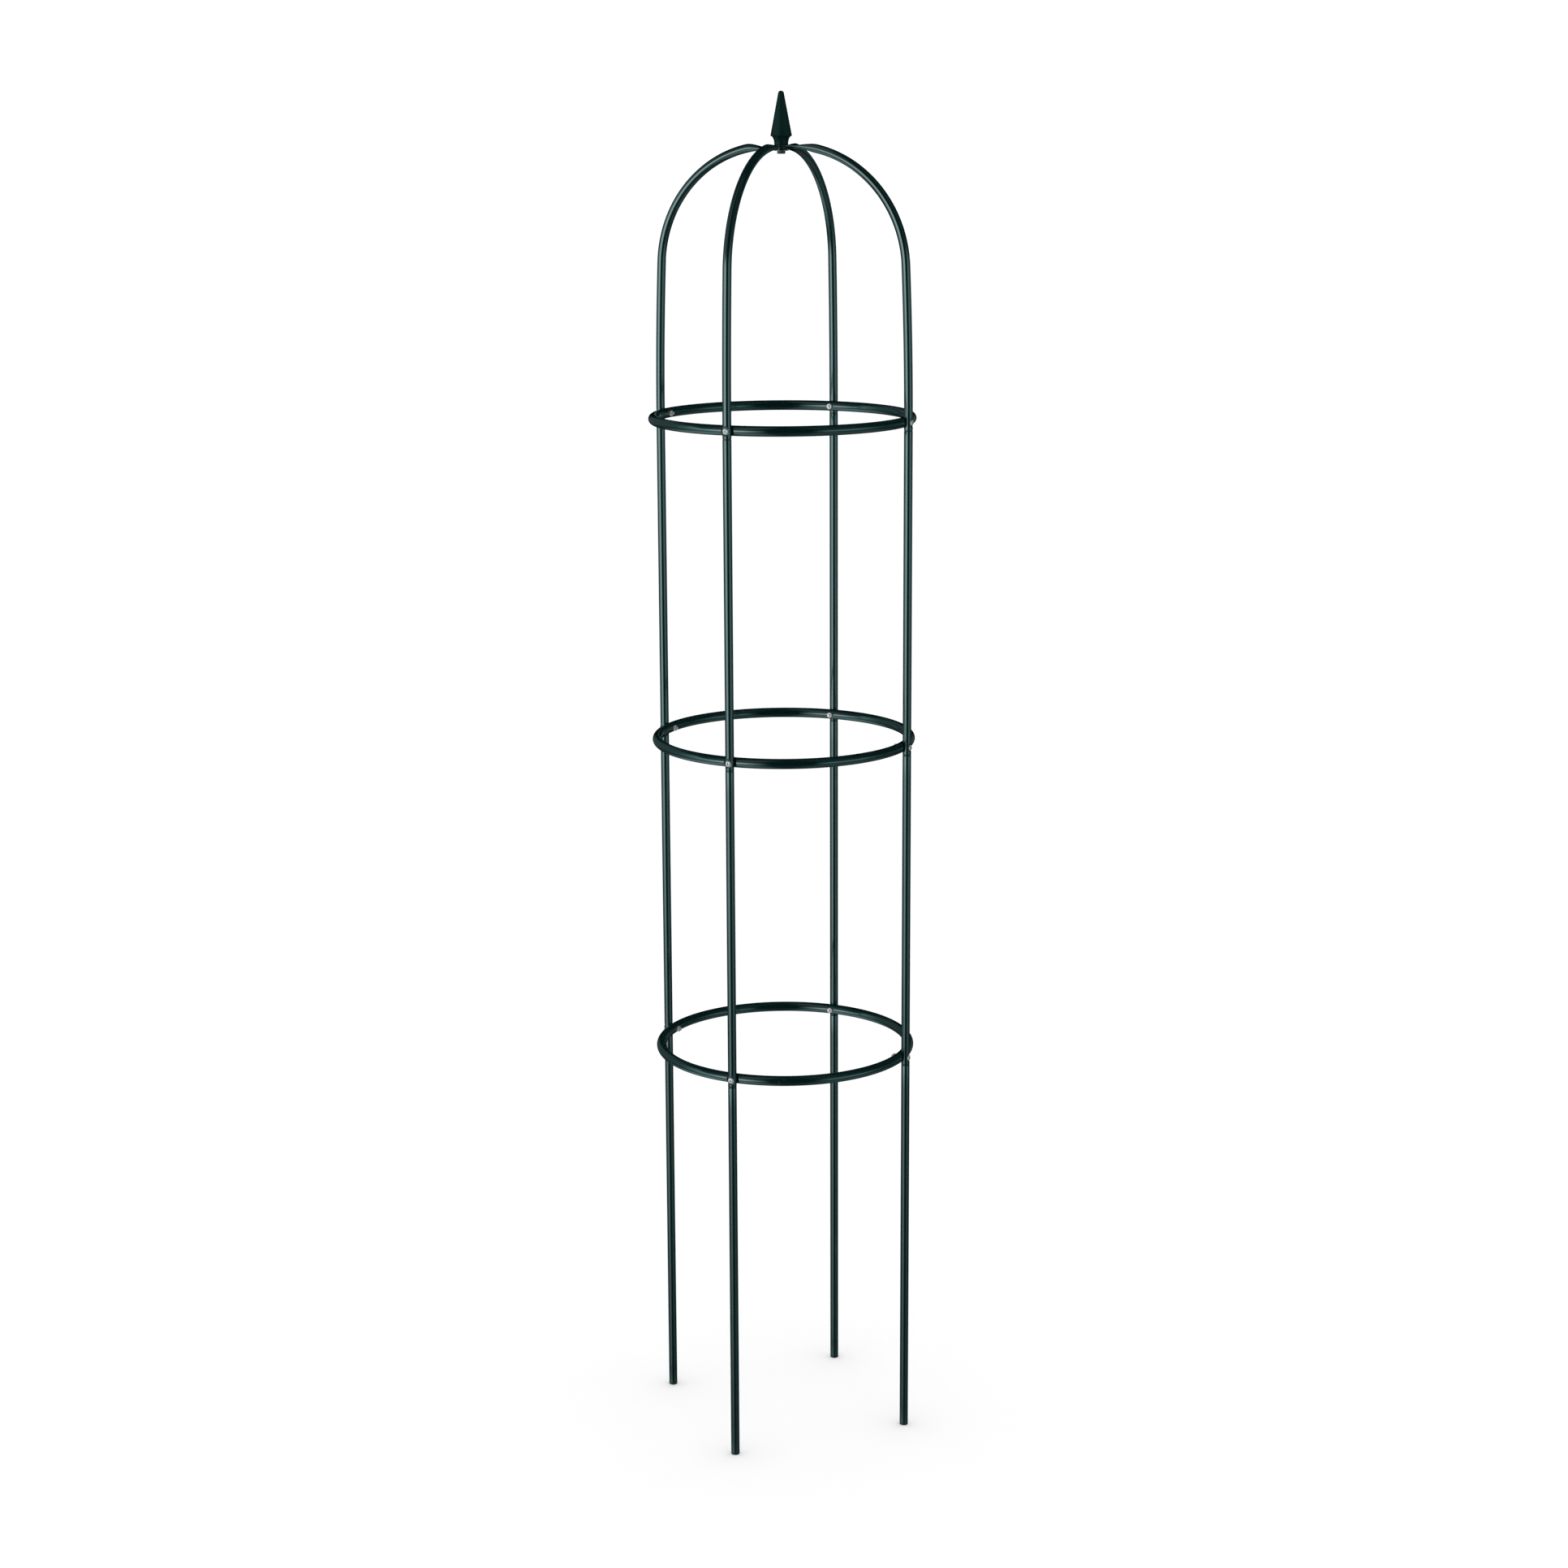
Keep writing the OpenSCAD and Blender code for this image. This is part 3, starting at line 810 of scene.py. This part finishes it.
cap = shifted(cap_shell(), x=LEG_R)
for side, degrees in SIDES.items():
    node = f"dome_tube_{side}"
    dome_tube = turned(dome_shell(TABS[side]), degrees)
    finish_piece(f"{node}_bent", [dome_tube], STEEL, node)
    node = f"end_cap_{side}"
    finish_piece(f"{node}_plug", [turned(cap, degrees)], BLACK, node)

screw = along_x(screw_shell())
nut = along_x(turned(nut_shell(), 30))
head_x = LEG_R + TUBE_R - DIMPLE_DEPTH
nut_x = RING_R - RING_TUBE_R - NUT_H
for level, z in RING_Z.items():
    node = f"{level}_ring"
    finish_piece(f"{node}_tube", [ring_shell(z)], STEEL, node)
    screws = [turned(shifted(screw, head_x, z), degrees) for degrees in SIDES.values()]
    nuts = [turned(shifted(nut, nut_x, z), degrees) for degrees in SIDES.values()]
    node = f"{level}_ring_screws"
    finish_piece(f"{node}_set", screws, ZINC, node, sharp=50)
    node = f"{level}_ring_nuts"
    finish_piece(f"{node}_set", nuts, ZINC, node, sharp=30)

spike = shifted(finial_shell(), z=FINIAL_Z)
finish_piece("finial_spike", [spike], PLASTIC, "finial", sharp=60)
bolt = shifted(bolt_shell(), z=CROWN_Z - WASHER_T)
finish_piece("crown_bolt_hex", [bolt], DULL_ZINC, "crown_bolt", sharp=30)
washer = shifted(washer_shell(), z=CROWN_Z)
finish_piece("crown_washer_flat", [washer], DULL_ZINC, "crown_washer")

# ---- Floor, light and camera ----

FLOOR_HALF = 30.0
floor_mesh = bpy.data.meshes.new("studio_floor")
corners = [(x * FLOOR_HALF, y * FLOOR_HALF, 0.0) for x, y in ((-1, -1), (1, -1), (1, 1), (-1, 1))]
floor_mesh.from_pydata(corners, [], [(0, 1, 2, 3)])
floor_mesh.materials.append(new_material("studio_floor_white", pale_floor))
floor = bpy.data.objects.new("studio_floor", floor_mesh)
bpy.context.scene.collection.objects.link(floor)
floor.visible_glossy = False

CAMERA_TURN = math.radians(23.307)
CAMERA_REACH = 4.2
CAMERA_HEIGHT = 1.88878
CAMERA_DIP = math.radians(12.701)
CAMERA_ROLL = math.radians(-0.25)
camera_x = CAMERA_REACH * math.sin(CAMERA_TURN)
camera_y = -CAMERA_REACH * math.cos(CAMERA_TURN)
camera = bpy.data.objects.new("camera", bpy.data.cameras.new("camera"))
bpy.context.scene.collection.objects.link(camera)
camera.data.lens = 69.779
camera.data.sensor_width = 36.0
camera.data.clip_start = 0.05
camera.data.clip_end = 200.0
camera.matrix_world = (
    Matrix.Translation((camera_x, camera_y, CAMERA_HEIGHT))
    @ Matrix.Rotation(CAMERA_TURN, 4, "Z")
    @ Matrix.Rotation(math.pi / 2 - CAMERA_DIP, 4, "X")
    @ Matrix.Rotation(CAMERA_ROLL, 4, "Z")
)
bpy.context.scene.camera = camera


# Light in the reflections, by bearing from the camera side: (degrees, level, share of red).
# The gap from -14 to 26 degrees keeps the middle of each tube dark.
TOP_LEVEL = 2.5
SIDE_BOXES = [
    (-180, 0.0, 0.75), (-168, 0.0, 0.75), (-158, 0.11, 0.75), (-120, 0.16, 0.75),
    (-104, 0.2, 0.75), (-88, 0.54, 0.75), (-70, 1.2, 0.85), (-56, 2.1, 1.1), (-36, 2.1, 1.1),
    (-24, 0.92, 0.9), (-14, 0.0, 0.75), (26, 0.0, 0.75), (40, 0.66, 0.8), (68, 0.6, 0.8),
    (86, 0.22, 0.75), (98, 0.09, 0.75), (130, 0.11, 0.75), (158, 0.11, 0.75), (168, 0.0, 0.75),
    (180, 0.0, 0.75),
]
FROM_BELOW = [
    (-180, 0.1, 0.78), (-150, 0.26, 0.78), (-122, 0.62, 0.78), (-90, 0.72, 0.78),
    (-60, 0.55, 0.78), (-30, 0.26, 0.78), (-12, 0.05, 0.78), (20, 0.05, 0.78), (40, 0.15, 0.78),
    (100, 0.18, 0.78), (180, 0.1, 0.78),
]
WHITE_STRENGTH = 1.14


def studio_world():
    """White all round, and for reflections a tall softbox on each side of a dark gap."""
    world = bpy.data.worlds.new("studio")
    bpy.context.scene.world = world
    nodes = Nodes(world)

    # Each direction as a bearing and a rise above the horizon, in degrees
    way = nodes.add("ShaderNodeTexCoord").outputs["Generated"]
    right = (math.cos(CAMERA_TURN), math.sin(CAMERA_TURN), 0.0)
    front = (math.sin(CAMERA_TURN), -math.cos(CAMERA_TURN), 0.0)

    def reach_along(axis):
        node = nodes.add("ShaderNodeVectorMath", {0: way, 1: axis}, operation="DOT_PRODUCT")
        return node.outputs["Value"]

    bearing = nodes.math("ARCTAN2", reach_along(right), reach_along(front))
    bearing = nodes.math("DEGREES", bearing)
    rise = nodes.add("ShaderNodeSeparateXYZ", {"Vector": way}).outputs["Z"]
    rise = nodes.math("DEGREES", nodes.math("ARCSINE", rise))

    def ramp(levels):
        """Light by bearing, from (degrees, level, share of red) stops."""
        whole_turn = nodes.spread(bearing, -180, 180, 0, 1)
        node = nodes.add("ShaderNodeValToRGB", {"Fac": whole_turn})
        stops = node.color_ramp.elements
        for _ in levels[2:]:
            stops.new(0.5)
        for stop, (degrees, level, red) in zip(stops, levels):
            stop.position = (degrees + 180) / 360
            stop.color = (level * red / TOP_LEVEL, level / TOP_LEVEL, level / TOP_LEVEL, 1)
        return node.outputs["Color"]

    def scaled(colour, *shares):
        """A colour times the product of two shares."""
        inputs = {0: colour, "Scale": nodes.math("MULTIPLY", *shares)}
        return nodes.add("ShaderNodeVectorMath", inputs, operation="SCALE").outputs[0]

    # The boxes fade towards the floor and overhead. Everywhere but on the far left they end
    # just above the horizon, so that the tops of the tubes stay dark.
    low_end = nodes.spread(rise, -25, -7, 0.1, 1.0)
    lowered = nodes.math("ADD", rise, nodes.spread(bearing, -95, -72, 0, 28))
    high_end = nodes.spread(lowered, 30, 44, 1.0, 0.1, smooth=True)
    sides = scaled(ramp(SIDE_BOXES), low_end, high_end)

    # Light off the floor, in a band between straight down and the horizon
    steep = nodes.spread(rise, -80, -56, 0.3, 1.0, smooth=True)
    near_level = nodes.spread(rise, -46, -20, 1.0, 0.0, smooth=True)
    under = scaled(ramp(FROM_BELOW), steep, near_level)

    boxes = nodes.add("ShaderNodeVectorMath", {0: sides, 1: under}, operation="ADD").outputs[0]
    white = {"Color": (1, 1, 1, 1), "Strength": WHITE_STRENGTH}
    plain = nodes.add("ShaderNodeBackground", white).outputs[0]
    mirror = nodes.add("ShaderNodeBackground", {"Color": boxes, "Strength": TOP_LEVEL}).outputs[0]
    seen = nodes.add("ShaderNodeLightPath").outputs["Is Glossy Ray"]
    both = nodes.add("ShaderNodeMixShader", {0: seen, 1: plain, 2: mirror})
    nodes.add("ShaderNodeOutputWorld", {"Surface": both.outputs[0]})
    world.cycles.sampling_method = "NONE"


studio_world()
bpy.context.scene.view_settings.view_transform = "Standard"
